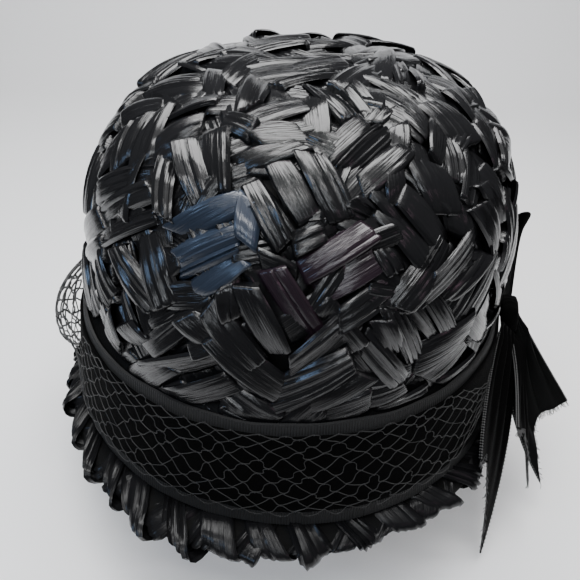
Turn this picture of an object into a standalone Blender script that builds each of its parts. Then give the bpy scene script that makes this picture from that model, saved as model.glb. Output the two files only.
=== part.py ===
"""A deep, round-crowned straw hat with a plaited rim, a two-ribbon band, a net veil and a side bow.

The crown and rim are plaited from flat strips of glossy straw. The plait shows as a chequer of
groups of three strips that lean left and right in turn. The front of the hat faces -Y, the bow
sits on the +X side, and the rim stands on the plane z = 0, so the ribbon tails hang below it.
All lengths are in metres.
"""
from collections import namedtuple
from math import cos, hypot, pi, radians, sin

import bmesh
import bpy
from mathutils import Vector

# Head and crown
CROWN_HALF_WIDTH = 0.0905
DEPTH_RATIO = 1.10
DOME_HEIGHT = 0.0945
DOME_POWER = 3.0
CROWN_LEAN = 0.007
SHOULDER_RISE = 0.003
STRAW_WALL = 0.003

# Plait
STRIPS_PER_GROUP = 3
STRIP_SPACING = 0.0165
PLAIT_RELIEF = 0.0035
TUCKED_SHARE = 0.45
ARCH_SHARE = 0.7

# Rim
BRIM_HEIGHT = 0.0082
BRIM_FLARE = 0.0068
BRIM_WIDTH = 0.0105
BRIM_DIP_FLARE = 0.0045
BRIM_DIP_DEGREES = -113.0
BRIM_DIP_SPREAD_DEGREES = 42.0
BRIM_FOLD_SPACING = 0.0145
BRIM_FOLD_DEPTH = 0.0022
SEAM_RISE = 0.0012

# Ribbon band
BAND_HEIGHT = 0.0432
BAND_STAND = 0.0016
BAND_FLARE = 0.0056
GROSGRAIN_THICKNESS = 0.0010
VELVET_THICKNESS = 0.0012
VELVET_TOP_MARGIN = 0.0040
VELVET_BOTTOM_MARGIN = 0.0055
LINING_SHARE = 0.9

# Net veil
VEIL_THICKNESS = 0.0010
VEIL_STAND = 0.0003
VEIL_THREAD = 0.0013
VEIL_CELLS_AROUND = 24
VEIL_CELLS_HIGH = 3
VEIL_EDGE_MARGIN = 0.0022
VEIL_START_DEGREES = -30.0
VEIL_SWEEP_DEGREES = 316.0
GATHER_DEGREES = -160.0
GATHER_SPREAD_DEGREES = 13.0
GATHER_PINCH = 0.45
PUFF_DEGREES = -182.0
PUFF_SPREAD_DEGREES = 30.0
PUFF_DEPTH = 0.0145
PUFF_SLUMP = 0.85

# Bow
RIBBON_WIDTH = 0.042
RIBBON_THICKNESS = 0.0011
BOW_DEGREES = -13.5
BOW_HEIGHT_SHARE = 0.87
KNOT_OUT = 0.0078
KNOT_WIDTH = 0.013
KNOT_HEIGHT = 0.014
KNOT_RISE = 0.003
KNOT_TUCK = 0.25

# Joints between neighbours
CLEARANCE = 0.0003

# Faceting
COLUMNS = 72
STEPS_PER_GROUP = STRIPS_PER_GROUP
OUTLINE_STEPS = 240
LINING_ROWS = 8
LINING_COLUMNS = 12
TAIL_ROWS = 6
TAIL_STRANDS = 6
LOOP_STRANDS = 3
KNOT_BEVEL = 0.44
RIBBON_SHARP_DEGREES = 50.0
PLAIT_SHARP_DEGREES = 20.0

# Heights and half widths that follow from the sizes above
BAND_BOTTOM = BRIM_HEIGHT
BAND_TOP = BAND_BOTTOM + BAND_HEIGHT
SHOULDER = BAND_TOP + SHOULDER_RISE
BAND_TOP_HALF_WIDTH = CROWN_HALF_WIDTH + BAND_STAND
BAND_BOTTOM_HALF_WIDTH = BAND_TOP_HALF_WIDTH + BAND_FLARE
RIM_HALF_WIDTH = BAND_BOTTOM_HALF_WIDTH + BRIM_FLARE
SEAM_HEIGHT = BRIM_HEIGHT + SEAM_RISE
LINING_DEPTH = PLAIT_RELIEF + STRAW_WALL

Place = namedtuple("Place", "half_width height")
Root = namedtuple("Root", "tail edge out front up")
Edge = namedtuple("Edge", "tail edge station out front up")
Fold = namedtuple("Fold", "out back middle half_height")
Corner = namedtuple("Corner", "inward rise folded")

# Rim section, from the seam behind the band, down the outside and back up inside. Inward is a
# share of the rim's width, and rise a share of its height. Folded says how far a fold pulls it in.
RIM_SECTION = (
    Corner(inward=0.80, rise=1.00, folded=0.0),
    Corner(inward=0.78, rise=0.82, folded=0.0),
    Corner(inward=0.40, rise=0.74, folded=0.5),
    Corner(inward=0.05, rise=0.44, folded=1.0),
    Corner(inward=0.00, rise=0.16, folded=1.0),
    Corner(inward=0.22, rise=0.00, folded=0.6),
    Corner(inward=0.80, rise=0.04, folded=0.0),
    Corner(inward=1.22, rise=0.30, folded=0.0),
    Corner(inward=1.26, rise=1.00, folded=0.0),
)

# Ribbon tails. Each opens between a short and a long selvage. A root is where a selvage leaves
# the knot, in shares of the knot's half sizes from its middle, so 1 is on its face.
TAIL_ROOTS = (
    Root("bow_tail_a", "short", out=1.00, front=-0.50, up=-0.15),
    Root("bow_tail_a", "long", out=1.00, front=0.50, up=-0.80),
    Root("bow_tail_c", "short", out=0.50, front=0.20, up=-1.00),
    Root("bow_tail_c", "long", out=0.70, front=-0.40, up=-1.00),
    Root("bow_tail_b", "short", out=-0.60, front=1.00, up=-0.20),
    Root("bow_tail_b", "long", out=0.00, front=1.00, up=-0.80),
)

# From its root a selvage runs past a bend to its tip. These places are shares of the ribbon's
# width from the bow's seat on the band: out, to the front and up.
TAIL_EDGES = (
    Edge("bow_tail_a", "short", "bend", out=0.56, front=-0.09, up=-0.42),
    Edge("bow_tail_a", "short", "tip", out=0.96, front=-0.06, up=-0.98),
    Edge("bow_tail_a", "long", "bend", out=0.42, front=0.18, up=-0.85),
    Edge("bow_tail_a", "long", "tip", out=0.81, front=0.49, up=-1.76),
    Edge("bow_tail_c", "short", "bend", out=0.32, front=0.42, up=-0.30),
    Edge("bow_tail_c", "short", "tip", out=0.37, front=0.92, up=-0.62),
    Edge("bow_tail_c", "long", "bend", out=0.41, front=0.32, up=-0.80),
    Edge("bow_tail_c", "long", "tip", out=0.67, front=0.66, up=-1.67),
    Edge("bow_tail_b", "short", "bend", out=0.20, front=0.75, up=-0.28),
    Edge("bow_tail_b", "short", "tip", out=-0.03, front=1.43, up=-0.69),
    Edge("bow_tail_b", "long", "bend", out=0.42, front=0.62, up=-0.95),
    Edge("bow_tail_b", "long", "tip", out=0.21, front=1.42, up=-1.98),
)
NOTCH_PLACE = 0.36
NOTCH_DEPTH = 0.20
TAIL_CURL = 0.05

# Bow loop, from the knot round its back fold to the knot again, in shares of the ribbon's width.
# Out is from the band and back is from the knot's rear face. Middle and half_height give the
# ribbon's middle line above the seat and half its width on edge.
LOOP_FOLDS = (
    Fold(out=0.190, back=0.000, middle=0.07, half_height=0.13),
    Fold(out=0.200, back=0.298, middle=0.10, half_height=0.38),
    Fold(out=0.210, back=0.578, middle=0.15, half_height=0.49),
    Fold(out=0.220, back=0.808, middle=0.21, half_height=0.50),
    Fold(out=0.170, back=0.908, middle=0.23, half_height=0.50),
    Fold(out=0.095, back=0.838, middle=0.21, half_height=0.50),
    Fold(out=0.060, back=0.578, middle=0.14, half_height=0.46),
    Fold(out=0.080, back=0.298, middle=0.09, half_height=0.34),
    Fold(out=0.100, back=0.000, middle=0.07, half_height=0.13),
)
LOOP_FLARE = 0.60


def clear_scene():
    for item in list(bpy.data.objects):
        bpy.data.objects.remove(item, do_unlink=True)


def material(name, colour, roughness):
    """A plain surface of the straw or ribbon's own colour."""
    made = bpy.data.materials.new(name)
    made.use_nodes = True
    shader = made.node_tree.nodes["Principled BSDF"]
    shader.inputs["Base Color"].default_value = (*colour, 1.0)
    shader.inputs["Roughness"].default_value = roughness
    shader.inputs["Metallic"].default_value = 0.0
    return made


def add_object(name, mesh_maker, surface):
    mesh = bpy.data.meshes.new(name)
    mesh_maker.to_mesh(mesh)
    mesh_maker.free()
    mesh.materials.append(surface)
    made = bpy.data.objects.new(name, mesh)
    bpy.context.scene.collection.objects.link(made)
    return made


def lean_at(height):
    """How far the crown leans to +X at a height above the shoulder."""
    return CROWN_LEAN * max(0.0, height - SHOULDER) / DOME_HEIGHT


def plan_point(angle, half_width, height):
    """A point of the oval plan whose half width across the head is given."""
    across = lean_at(height) + half_width * cos(angle)
    along = DEPTH_RATIO * half_width * sin(angle)
    return Vector((across, along, height))


def band_half_width(height):
    """Half width of the ribbon band's outer face, also carried on above and below it."""
    share = (BAND_TOP - height) / BAND_HEIGHT
    return BAND_TOP_HALF_WIDTH + BAND_FLARE * share


def crown_profile():
    """The crown's outline above the band, with the arc length up to each of its places."""
    outline = [Place(CROWN_HALF_WIDTH, BAND_TOP), Place(CROWN_HALF_WIDTH, SHOULDER)]
    for step in range(1, OUTLINE_STEPS + 1):
        turn = step / OUTLINE_STEPS * pi / 2
        half_width = CROWN_HALF_WIDTH * max(0.0, cos(turn)) ** (2 / DOME_POWER)
        height = SHOULDER + DOME_HEIGHT * sin(turn) ** (2 / DOME_POWER)
        outline.append(Place(half_width, height))
    lengths = [0.0]
    for before, after in zip(outline, outline[1:]):
        run = hypot(after.half_width - before.half_width, after.height - before.height)
        lengths.append(lengths[-1] + run)
    return outline, lengths


def along_profile(outline, lengths, distance):
    """The place at an arc length up the outline, and the outward direction there."""
    last = len(lengths) - 2
    index = 0
    while index < last and lengths[index + 1] < distance:
        index += 1
    before = outline[index]
    after = outline[index + 1]
    run = lengths[index + 1] - lengths[index]
    share = min(1.0, (distance - lengths[index]) / run)
    half_width = before.half_width + share * (after.half_width - before.half_width)
    height = before.height + share * (after.height - before.height)
    outward = Vector((after.height - before.height, before.half_width - after.half_width))
    return Place(half_width, height), outward.normalized()


def plait_height(column, row):
    """Relief of the plait at a grid point, as a share of its full relief.

    Groups lie on a chequer of diamonds. In one set the strips lean right and in the other set
    left. Even points lie on the middle of a strip, odd ones between strips.
    """
    reach = STEPS_PER_GROUP
    for leaning_right in (True, False):
        shift = 0 if leaning_right else reach
        across = (column - shift + reach) % (2 * reach) - reach
        rise = (row - shift + reach) % (2 * reach) - reach
        if abs(across) + abs(rise) <= reach:
            along = across + rise if leaning_right else across - rise
            if abs(across) + abs(rise) == reach:
                return 0.0
            if (across + rise) % 2:
                return TUCKED_SHARE
            return 1.0 if along == 0 else ARCH_SHARE
    return 0.0


def leans_right(column, row):
    """Whether the plait's strips run up to the right in the cell above a grid point."""
    reach = STEPS_PER_GROUP
    across = (column + 0.5 + reach) % (2 * reach) - reach
    rise = (row + 0.5 + reach) % (2 * reach) - reach
    return abs(across) + abs(rise) < reach


def stitch(mesh_maker, lower, upper, split_right):
    """Join two rings, the lower one first, with triangles that face out."""
    if len(lower) == len(upper):
        count = len(lower)
        for index in range(count):
            after = (index + 1) % count
            if split_right(index):
                mesh_maker.faces.new((lower[index], lower[after], upper[after]))
                mesh_maker.faces.new((lower[index], upper[after], upper[index]))
            else:
                mesh_maker.faces.new((lower[index], lower[after], upper[index]))
                mesh_maker.faces.new((lower[after], upper[after], upper[index]))
        return
    low = 0
    high = 0
    while low < len(lower) or high < len(upper):
        low_turn = (low + 1) / len(lower)
        high_turn = (high + 1) / len(upper)
        if low_turn <= high_turn:
            corners = (lower[low % len(lower)], lower[(low + 1) % len(lower)])
            mesh_maker.faces.new((*corners, upper[high % len(upper)]))
            low += 1
        else:
            corners = (upper[(high + 1) % len(upper)], upper[high % len(upper)])
            mesh_maker.faces.new((lower[low % len(lower)], *corners))
            high += 1


def cap(mesh_maker, ring, tip, facing_up):
    """Close a ring to one point."""
    for index, corner in enumerate(ring):
        after = ring[(index + 1) % len(ring)]
        if facing_up:
            mesh_maker.faces.new((corner, after, tip))
        else:
            mesh_maker.faces.new((after, corner, tip))


def oval_ring(mesh_maker, count, half_width, height):
    ring = []
    for column in range(count):
        angle = 2 * pi * column / count
        ring.append(mesh_maker.verts.new(plan_point(angle, half_width, height)))
    return ring


def ring_count(half_width):
    """How many columns keep the plait's width on a ring, in whole groups."""
    whole = 2 * STEPS_PER_GROUP
    share = half_width / CROWN_HALF_WIDTH
    return max(whole, whole * round(COLUMNS / whole * share))


def plaited_rings(mesh_maker, outline, lengths):
    """The crown's outer rings above the band, raised and sunk as the plait is."""
    total = lengths[-1]
    group_rise = STRIP_SPACING * STRIPS_PER_GROUP / 2
    group_rows = max(2, round(total / group_rise))
    rows = group_rows * STEPS_PER_GROUP
    rings = []
    count = COLUMNS
    for row in range(rows):
        place, outward = along_profile(outline, lengths, total * row / rows)
        if row % STEPS_PER_GROUP == 0:
            count = ring_count(place.half_width)
        ring = []
        for column in range(count):
            sunk = PLAIT_RELIEF * (plait_height(column, row) - 1.0)
            if row == 0:
                sunk = -PLAIT_RELIEF
            half_width = place.half_width + sunk * outward.x
            height = place.height + sunk * outward.y
            angle = 2 * pi * column / count
            ring.append(mesh_maker.verts.new(plan_point(angle, half_width, height)))
        rings.append(ring)
    return rings


def lining_rings(mesh_maker, outline, lengths):
    """The crown's smooth inner rings above the band, from the shoulder to the top."""
    rings = []
    for row in range(1, LINING_ROWS):
        place, outward = along_profile(outline, lengths, lengths[-1] * row / LINING_ROWS)
        half_width = place.half_width - LINING_DEPTH * outward.x
        height = place.height - LINING_DEPTH * outward.y
        whole_steps = round(ring_count(half_width) / (2 * LINING_COLUMNS))
        count = LINING_COLUMNS * max(1, whole_steps)
        rings.append(oval_ring(mesh_maker, count, half_width, height))
    return rings


def make_crown(surface):
    """The plaited crown: a hollow dome that stays smooth where the band covers it."""
    maker = bmesh.new()
    outline, lengths = crown_profile()
    bottom = SEAM_HEIGHT + CLEARANCE
    behind_band = GROSGRAIN_THICKNESS + CLEARANCE
    outer_bottom = band_half_width(bottom) - behind_band
    outer_top = band_half_width(BAND_TOP) - behind_band
    outer = [oval_ring(maker, COLUMNS, outer_bottom, bottom)]
    outer.append(oval_ring(maker, COLUMNS, outer_top, BAND_TOP - CLEARANCE))
    outer += plaited_rings(maker, outline, lengths)
    stitch(maker, outer[0], outer[1], lambda column: True)
    stitch(maker, outer[1], outer[2], lambda column: True)
    for row, (lower, upper) in enumerate(zip(outer[2:], outer[3:])):
        stitch(maker, lower, upper, lambda column, row=row: leans_right(column, row))
    top = along_profile(outline, lengths, lengths[-1])[0]
    cap(maker, outer[-1], maker.verts.new(plan_point(0.0, 0.0, top.height)), True)

    inner_count = COLUMNS // 2
    inner = [oval_ring(maker, inner_count, outer_bottom - STRAW_WALL, bottom)]
    inner_top = outer_top - STRAW_WALL - CLEARANCE
    inner.append(oval_ring(maker, inner_count, inner_top, BAND_TOP * LINING_SHARE))
    inner += lining_rings(maker, outline, lengths)
    for lower, upper in zip(inner, inner[1:]):
        stitch(maker, lower, upper, lambda column: True)
    ceiling = maker.verts.new(plan_point(0.0, 0.0, top.height - LINING_DEPTH))
    cap(maker, inner[-1], ceiling, True)
    outside = set(face for ring in outer for corner in ring for face in corner.link_faces)
    lining = [face for face in maker.faces if face not in outside]
    bmesh.ops.reverse_faces(maker, faces=lining)
    stitch(maker, inner[0], outer[0], lambda column: True)
    return add_object("crown", maker, surface)


def loft_rings(mesh_maker, rings, split_right):
    """Join rings that follow each other round a closed section."""
    for index, ring in enumerate(rings):
        following = rings[(index + 1) % len(rings)]
        stitch(mesh_maker, following, ring, lambda column, row=index: split_right(column, row))


def rim_half_width(degrees):
    """Half width of the rim's edge, which dips and flares further at the front left."""
    dip = bump(degrees, BRIM_DIP_DEGREES, BRIM_DIP_SPREAD_DEGREES)
    dip += bump(degrees - 360.0, BRIM_DIP_DEGREES, BRIM_DIP_SPREAD_DEGREES)
    return RIM_HALF_WIDTH + BRIM_DIP_FLARE * dip


def make_brim(surface):
    """The plaited rim: a padded ring whose folded strips make a bumpy edge."""
    maker = bmesh.new()
    folds = 2 * round(pi * RIM_HALF_WIDTH * (1 + DEPTH_RATIO) / BRIM_FOLD_SPACING / 2)
    columns = 2 * folds
    rings = []
    for row, corner in enumerate(RIM_SECTION):
        ring = []
        for column in range(columns):
            folded_in = (column + row) % 2
            inward = corner.inward * BRIM_WIDTH + folded_in * corner.folded * BRIM_FOLD_DEPTH
            height = corner.rise * SEAM_HEIGHT
            degrees = 360.0 * column / columns
            reach = max(0.0, 1.0 - corner.inward / RIM_SECTION[0].inward)
            edge = RIM_HALF_WIDTH + reach * (rim_half_width(degrees) - RIM_HALF_WIDTH)
            ring.append(maker.verts.new(plan_point(radians(degrees), edge - inward, height)))
        rings.append(ring)
    loft_rings(maker, rings, lambda column, row: (column + row) % 2 == 0)
    return add_object("brim", maker, surface)


def make_ribbon_ring(name, bottom, top, inner_gap, thickness, surface):
    """A flat ribbon round the crown, between two heights, on the band's slope."""
    maker = bmesh.new()
    section = ((thickness, top), (thickness, bottom), (0.0, bottom), (0.0, top))
    rings = []
    for stand, height in section:
        half_width = band_half_width(height) + inner_gap + stand
        rings.append(oval_ring(maker, COLUMNS, half_width, height))
    loft_rings(maker, rings, lambda column, row: True)
    return add_object(name, maker, surface)


def bump(angle, centre, spread):
    """A smooth hill in angle: one at its centre and nothing past its spread."""
    away = abs(angle - centre) / spread
    return cos(away * pi / 2) ** 2 if away < 1.0 else 0.0


def veil_point(around, up):
    """A point of the veil's middle surface, from shares of its sweep and of its height."""
    degrees = VEIL_START_DEGREES - VEIL_SWEEP_DEGREES * around
    gather = bump(degrees, GATHER_DEGREES, GATHER_SPREAD_DEGREES)
    puff = bump(degrees, PUFF_DEGREES, PUFF_SPREAD_DEGREES)
    low = BAND_BOTTOM + VEIL_EDGE_MARGIN
    high = BAND_TOP - VEIL_EDGE_MARGIN
    narrowed = 0.5 + (up - 0.5) * (1.0 - GATHER_PINCH * gather)
    height = low + (high - low) * narrowed
    stand = VELVET_THICKNESS + 2 * CLEARANCE + VEIL_STAND + VEIL_THICKNESS / 2
    stand += PUFF_DEPTH * puff * sin(pi * up ** PUFF_SLUMP)
    return plan_point(radians(degrees), band_half_width(height) + stand, height)


def veil_cells():
    """Centres of the net's diamonds, as half steps around and up."""
    cells = []
    for row in range(1, 2 * VEIL_CELLS_HIGH):
        first = 1 if row % 2 else 2
        for column in range(first, 2 * VEIL_CELLS_AROUND, 2):
            cells.append((column, row))
    return cells


def make_veil(surface):
    """The net veil: diamond holes cut through one thin sheet, gathered and puffed at the left."""
    maker = bmesh.new()
    corners = {}

    def corner_at(column, row):
        if (column, row) not in corners:
            share = (column / (2 * VEIL_CELLS_AROUND), row / (2 * VEIL_CELLS_HIGH))
            corners[column, row] = maker.verts.new(veil_point(*share))
        return corners[column, row]

    for column, row in veil_cells():
        ring = ((column - 1, row), (column, row + 1), (column + 1, row), (column, row - 1))
        maker.faces.new([corner_at(*place) for place in ring])
    maker.normal_update()
    faces = list(maker.faces)
    bmesh.ops.inset_individual(maker, faces=faces, thickness=VEIL_THREAD / 2, use_even_offset=True)
    bmesh.ops.delete(maker, geom=faces, context="FACES")
    bmesh.ops.recalc_face_normals(maker, faces=maker.faces)
    veil = add_object("veil", maker, surface)
    thicken(veil, VEIL_THICKNESS)
    return veil


def thicken(thing, thickness):
    """Give a sheet its thickness, half on each side."""
    solidify = thing.modifiers.new("Thickness", "SOLIDIFY")
    solidify.thickness = thickness
    solidify.offset = 0.0
    solidify.use_even_offset = True
    return solidify


def bow_axes():
    """The bow's seat on the band, and its directions out, to the front and up."""
    height = BAND_BOTTOM + BOW_HEIGHT_SHARE * BAND_HEIGHT
    angle = radians(BOW_DEGREES)
    seat = plan_point(angle, band_half_width(height), height)
    out = Vector((cos(angle) * DEPTH_RATIO, sin(angle), 0.0)).normalized()
    up = Vector((0.0, 0.0, 1.0))
    front = out.cross(up)
    return seat, out, front, up


def bow_point(out_share, front_share, up_share):
    """A point from the bow's seat, in shares of the ribbon's width."""
    seat, out, front, up = bow_axes()
    return seat + RIBBON_WIDTH * (out_share * out + front_share * front + up_share * up)


def knot_point(out_share, front_share, up_share):
    """A point of the knot, in shares of its half sizes from its middle. It leans as the band does."""
    seat, out, front, up = bow_axes()
    tuck = 1.0 - KNOT_TUCK * up_share ** 2
    rise = KNOT_RISE + up_share * KNOT_HEIGHT / 2
    slope = -rise * BAND_FLARE / BAND_HEIGHT
    reach = VELVET_THICKNESS + 2 * CLEARANCE + (1.0 + out_share) * KNOT_OUT / 2 + slope
    return seat + out * reach + front * (front_share * tuck * KNOT_WIDTH / 2) + up * rise


def make_knot(surface):
    """The knot: a soft upright block on the band, pinched top and bottom."""
    maker = bmesh.new()
    bmesh.ops.create_cube(maker, size=2.0)
    bmesh.ops.bevel(maker, geom=maker.edges[:], offset=KNOT_BEVEL, segments=2, profile=0.5,
                    affect="EDGES")
    for corner in maker.verts:
        corner.co = knot_point(*corner.co)
    bmesh.ops.triangulate(maker, faces=maker.faces[:])
    bmesh.ops.recalc_face_normals(maker, faces=maker.faces[:])
    return add_object("bow_knot", maker, surface)


def edge_curve(stations, share):
    """A selvage's point: a smooth curve from its root, drawn by its bend, to its tip."""
    root, bend, tip = stations
    rest = 1.0 - share
    return root * rest * rest + bend * 2 * rest * share + tip * share * share


def tail_root(root):
    """Where a selvage starts, clear of the face of the knot that it leaves."""
    seat, out, front, up = bow_axes()
    place = knot_point(root.out, root.front, root.up)
    gap = CLEARANCE + RIBBON_THICKNESS / 2
    for share, direction in ((root.out, out), (root.front, front), (root.up, up)):
        if abs(share) == 1.0:
            place += direction * share * gap
    return place


def tail_stations(tail, edge):
    """The root, bend and tip of one selvage."""
    stations = [tail_root(root) for root in TAIL_ROOTS if (root.tail, root.edge) == (tail, edge)]
    for row in TAIL_EDGES:
        if row.tail == tail and row.edge == edge:
            stations.append(bow_point(row.out, row.front, row.up))
    return stations


def make_tail(name, surface):
    """A ribbon tail that opens from under the knot and ends in a swallow-tail cut."""
    short = tail_stations(name, "short")
    long = tail_stations(name, "long")
    maker = bmesh.new()
    grid = []
    for row in range(TAIL_ROWS + 1):
        line = []
        for strand in range(TAIL_STRANDS + 1):
            across = strand / TAIL_STRANDS
            if across < NOTCH_PLACE:
                cut = across / NOTCH_PLACE
            else:
                cut = (1.0 - across) / (1.0 - NOTCH_PLACE)
            share = row / TAIL_ROWS * (1.0 - NOTCH_DEPTH * cut)
            left = edge_curve(short, share)
            right = edge_curve(long, share)
            curl = (right - left).cross(bow_axes()[3]).normalized()
            arch = TAIL_CURL * RIBBON_WIDTH * share * sin(pi * across)
            line.append(maker.verts.new(left.lerp(right, across) + curl * arch))
        grid.append(line)
    for before, after in zip(grid, grid[1:]):
        for strand in range(TAIL_STRANDS):
            maker.faces.new((before[strand], before[strand + 1], after[strand + 1], after[strand]))
    tail = add_object(name, maker, surface)
    thicken(tail, RIBBON_THICKNESS)
    return tail


def make_loop(surface):
    """The bow's loop: one ribbon from the knot to the back and round to the knot again."""
    maker = bmesh.new()
    grid = []
    for fold in LOOP_FOLDS:
        line = []
        for strand in range(LOOP_STRANDS + 1):
            climb = 2 * strand / LOOP_STRANDS - 1
            flare = 1.0 + LOOP_FLARE * max(0.0, climb) * fold.half_height
            rise = fold.middle + fold.half_height * climb
            behind = (KNOT_WIDTH / 2 + CLEARANCE) / RIBBON_WIDTH + fold.back
            line.append(maker.verts.new(bow_point(fold.out * flare, -behind, rise)))
        grid.append(line)
    for before, after in zip(grid, grid[1:]):
        for strand in range(LOOP_STRANDS):
            maker.faces.new((before[strand], before[strand + 1], after[strand + 1], after[strand]))
    loop = add_object("bow_loop", maker, surface)
    thicken(loop, RIBBON_THICKNESS)
    return loop


def shade(thing, degrees):
    thing.data.shade_smooth()
    thing.data.set_sharp_from_angle(angle=radians(degrees))


def main():
    clear_scene()
    straw = material("glossy_straw", (0.020, 0.020, 0.022), 0.28)
    grosgrain = material("grosgrain", (0.018, 0.017, 0.018), 0.75)
    velvet = material("velvet", (0.006, 0.006, 0.006), 0.95)
    net = material("veil_net", (0.010, 0.010, 0.011), 0.60)

    make_crown(straw)
    make_brim(straw)
    make_ribbon_ring("band_grosgrain", BAND_BOTTOM, BAND_TOP, -GROSGRAIN_THICKNESS,
                     GROSGRAIN_THICKNESS, grosgrain)
    make_ribbon_ring("band_velvet", BAND_BOTTOM + VELVET_BOTTOM_MARGIN, BAND_TOP - VELVET_TOP_MARGIN,
                     CLEARANCE, VELVET_THICKNESS, velvet)
    make_veil(net)
    make_knot(velvet)
    make_loop(velvet)
    for name in ("bow_tail_a", "bow_tail_b", "bow_tail_c"):
        make_tail(name, velvet)
    for thing in bpy.context.scene.collection.objects:
        plaited = thing.name in ("crown", "brim")
        shade(thing, PLAIT_SHARP_DEGREES if plaited else RIBBON_SHARP_DEGREES)


if __name__ == "__main__":
    main()
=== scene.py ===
"""Looks for the plaited straw hat: glossy straw strips, ribbed and velvet ribbon, net and bow.

Metres, in the part's own frame: the front faces -Y, the bow sits on +X, and the rim stands on
z = 0. Places read from the picture are in its own 580 x 580 pixels and are dropped onto the
surface that carries them.
"""
import random
from collections import namedtuple
from math import cos, hypot, pi, radians, sin

import bmesh
import bpy
from mathutils import Matrix, Vector

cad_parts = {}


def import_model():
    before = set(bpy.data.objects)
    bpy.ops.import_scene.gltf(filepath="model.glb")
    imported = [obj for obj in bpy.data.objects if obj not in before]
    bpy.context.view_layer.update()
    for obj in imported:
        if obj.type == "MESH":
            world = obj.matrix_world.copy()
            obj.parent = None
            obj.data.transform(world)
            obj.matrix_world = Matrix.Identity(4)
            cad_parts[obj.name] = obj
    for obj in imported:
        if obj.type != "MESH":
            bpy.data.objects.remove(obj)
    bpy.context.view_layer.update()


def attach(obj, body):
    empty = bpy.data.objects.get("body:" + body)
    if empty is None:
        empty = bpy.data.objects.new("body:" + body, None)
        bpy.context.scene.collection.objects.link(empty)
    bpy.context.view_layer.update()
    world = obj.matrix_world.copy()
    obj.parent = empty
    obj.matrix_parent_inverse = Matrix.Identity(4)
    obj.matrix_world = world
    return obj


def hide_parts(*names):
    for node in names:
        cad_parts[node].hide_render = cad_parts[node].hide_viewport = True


# The part's sizes, as its source has them
CROWN_HALF_WIDTH = 0.0905
DEPTH_RATIO = 1.10
DOME_HEIGHT = 0.0945
DOME_POWER = 3.0
CROWN_LEAN = 0.007
BRIM_HEIGHT = 0.0082
BRIM_FLARE = 0.0068
BRIM_DIP_FLARE = 0.0045
BRIM_DIP_DEGREES = -113.0
BRIM_DIP_SPREAD_DEGREES = 42.0
BAND_HEIGHT = 0.0432
BAND_STAND = 0.0016
BAND_FLARE = 0.0056
VELVET_THICKNESS = 0.0012
VELVET_TOP_MARGIN = 0.0040
VELVET_BOTTOM_MARGIN = 0.0055
VEIL_START_DEGREES = -30.0
VEIL_SWEEP_DEGREES = 316.0
GATHER_DEGREES = -160.0
GATHER_SPREAD_DEGREES = 13.0
PUFF_DEGREES = -182.0
PUFF_SPREAD_DEGREES = 30.0
PUFF_DEPTH = 0.0145
PUFF_SLUMP = 0.85
RIBBON_WIDTH = 0.042
BOW_DEGREES = -13.5
BOW_HEIGHT_SHARE = 0.87
KNOT_OUT = 0.0078
KNOT_WIDTH = 0.013
KNOT_HEIGHT = 0.014
KNOT_RISE = 0.003
CLEARANCE = 0.0003
BAND_BOTTOM = BRIM_HEIGHT
BAND_TOP = BAND_BOTTOM + BAND_HEIGHT
SHOULDER = BAND_TOP + 0.003
BAND_TOP_HALF_WIDTH = CROWN_HALF_WIDTH + BAND_STAND
RIM_HALF_WIDTH = BAND_TOP_HALF_WIDTH + BAND_FLARE + BRIM_FLARE

# Camera
PICTURE_SIZE = 580
FOCAL_PIXELS = 650.0
SENSOR_MM = 36.0
CAMERA_ELEVATION = 32.9
CAMERA_DISTANCE = 0.30861
CAMERA_ROLL = 2.3
CAMERA_TARGET = Vector((-0.00027, 0.0, 0.03996))

# Straw strips
LOBE_TUCK = 0.0036
LOBE_ARCH = 0.0010
PLEAT_DEPTH = 0.00018
DEEP_PLEAT_DEPTH = 0.00056
DEEP_PLEAT_SHARE = 0.62
LOBE_ROLL = 0.0017
LOBE_PITCH = 0.0017
EDGE_DROP = 0.0011
FILLERS_PER_GROUP = 2
BEHIND_BAND = 0.0001
BAND_RISE = 0.5
STRIP_WIDTH = 0.0120
STRIP_HALF_LENGTH = 0.0165
STRIP_SHARP_DEGREES = 48.0
# Charted strips: added length, width over what shows, width limits, and how near they press others down
CHARTED_SPARE = 0.0022
CHARTED_SPREAD = 1.22
CHARTED_NARROWEST = 0.0078
CHARTED_WIDEST = 0.0140
CHARTED_REACH = 0.0115
CHARTED_PRESS = 0.0022
STRIP_PITCH = 0.0108
GROUP_PITCH = 0.024
BASE_SINK = 0.0040
CROWN_WALL = 0.0026
ACROSS_STEPS = 14
MIDDLE_STEPS = 6
# How far in from a strip's end each of its rows is, and the share of the tuck left there
END_ROWS = ((0.0, 1.0), (0.0005, 0.44), (0.0008, 0.20), (0.0013, 0.05), (0.0021, 0.0))

Lobe = namedtuple("Lobe", "x0 y0 x1 y1 wide tint", defaults=(0,))

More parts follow.
